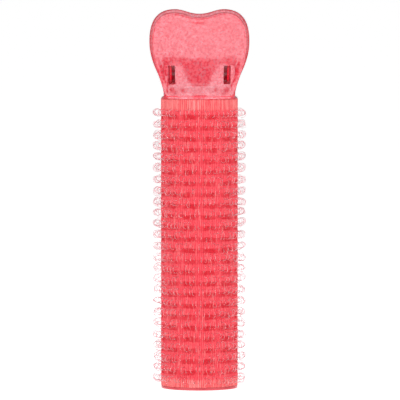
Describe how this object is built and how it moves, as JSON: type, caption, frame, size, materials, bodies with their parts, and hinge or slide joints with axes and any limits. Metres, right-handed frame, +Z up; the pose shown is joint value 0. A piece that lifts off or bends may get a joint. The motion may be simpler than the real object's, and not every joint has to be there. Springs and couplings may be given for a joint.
{
  "type": "hair roller",
  "caption": "Self-grip hair roller: a vented barrel wrapped in hook tape, with a fixed front thumb plate and a sprung rear lever whose arm clips hair against the barrel.",
  "frame": {"origin": "on the barrel's axis, at the bottom face of its lip", "axes": "+Z up the barrel towards the thumb plates, -Y to the front thumb plate, +Y to the rear lever"},
  "size_m": [0.0334, 0.0366, 0.1236],
  "materials": {
    "core_plastic": "satin moulded coral plastic",
    "tape_weave": "ribbed woven nylon tape, coral pink",
    "hook_nylon": "fine clear pink nylon monofilament loops",
    "pearl_plastic": "glossy translucent coral plastic with fine pearl glitter",
    "steel": "bright drawn wire"
  },
  "bodies": {
    "roller": {"barrel_core": "core_plastic", "tape_backing": "tape_weave", "hook_row_01": "hook_nylon", "hook_row_02": "hook_nylon", "hook_row_03": "hook_nylon", "hook_row_04": "hook_nylon", "hook_row_05": "hook_nylon", "hook_row_06": "hook_nylon", "hook_row_07": "hook_nylon", "hook_row_08": "hook_nylon", "hook_row_09": "hook_nylon", "hook_row_10": "hook_nylon", "hook_row_11": "hook_nylon", "hook_row_12": "hook_nylon", "hook_row_13": "hook_nylon", "hook_row_14": "hook_nylon", "hook_row_15": "hook_nylon", "hook_row_16": "hook_nylon", "hook_row_17": "hook_nylon", "hook_row_18": "hook_nylon", "hook_row_19": "hook_nylon", "hook_row_20": "hook_nylon", "hook_row_21": "hook_nylon", "hook_row_22": "hook_nylon", "hook_row_23": "hook_nylon", "hook_row_24": "hook_nylon", "hook_row_25": "hook_nylon", "clip_head": "pearl_plastic", "hinge_pin": "steel", "torsion_spring": "steel"},
    "lever": {"clip_lever": "pearl_plastic"}
  },
  "joints": [
    {"name": "lever_hinge", "type": "hinge", "parent": "roller", "child": "lever", "pos_m": [0, 0, 0.1027], "axis": [1, 0, 0], "range_deg": [0, 30], "stiffness_Nm_per_rad": 0.15, "springref_deg": -28.65, "deforming": ["torsion_spring"]}
  ]
}
